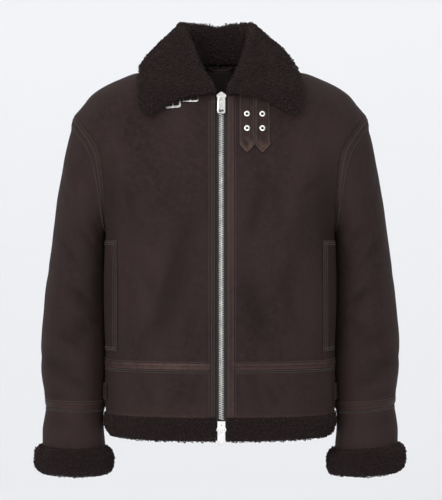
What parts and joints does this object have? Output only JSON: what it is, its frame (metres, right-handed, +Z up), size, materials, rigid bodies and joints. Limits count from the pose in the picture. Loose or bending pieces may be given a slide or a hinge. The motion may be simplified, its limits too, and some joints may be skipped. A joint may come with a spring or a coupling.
{
  "type": "shearling coat",
  "caption": "Short shearling coat, dark brown suede outside and curly wool inside, with a wide wool collar, a two-way zip, throat straps and turned-up wool cuffs and hem, filled out as if worn.",
  "frame": {"origin": "the base of the neck, midway between the wearer's shoulders, at the height of the neck points", "axes": "+Z up along the body, front facing -Y, +X towards the wearer's left"},
  "size_m": [0.67, 0.275, 0.8182],
  "materials": {
    "skin": "suede",
    "seam_tape": "rubbed suede",
    "fleece": "curly wool",
    "zip_tape": "woven",
    "metal": "polished"
  },
  "bodies": {
    "root": {"front_right": "skin", "front_left": "skin", "back": "skin", "hem_band_front_right": "skin", "hem_band_front_left": "skin", "hem_band_back": "skin", "hem_fleece_front_right": "fleece", "hem_fleece_front_left": "fleece", "hem_fleece_back": "fleece", "hem_tape_front_right": "seam_tape", "hem_tape_front_left": "seam_tape", "hem_tape_back": "seam_tape", "sleeve_right": "skin", "sleeve_left": "skin", "cuff_right": "skin", "cuff_left": "skin", "cuff_tape_right": "seam_tape", "cuff_tape_left": "seam_tape", "cuff_fleece_right": "fleece", "cuff_fleece_left": "fleece", "collar": "fleece", "hanger_loop": "skin", "front_edge_right": "skin", "front_edge_left": "skin", "zip_tape_right": "zip_tape", "zip_tape_left": "zip_tape", "zip_chain": "metal", "slider_top": "metal", "slider_bottom": "metal", "pocket_welt_right": "skin", "pocket_welt_left": "skin", "throat_strap_a": "skin", "throat_strap_b": "skin", "eyelet_a1": "metal", "eyelet_a2": "metal", "eyelet_b1": "metal", "eyelet_b2": "metal", "throat_buckle_a": "metal", "throat_buckle_b": "metal", "side_tab_right": "skin", "side_tab_left": "skin"},
    "zip_pull_top": {"pull_top": "metal"},
    "zip_pull_bottom": {"pull_bottom": "metal"}
  },
  "joints": [
    {"name": "top_pull_hinge", "type": "hinge", "parent": "root", "child": "zip_pull_top", "pos_m": [0.0022, -0.12079, -0.0571], "axis": [-1, 0, 0], "range_deg": [0, 120]},
    {"name": "bottom_pull_hinge", "type": "hinge", "parent": "root", "child": "zip_pull_bottom", "pos_m": [0.0022, -0.14158, -0.63343], "axis": [-1, 0, 0], "range_deg": [0, 150]}
  ]
}
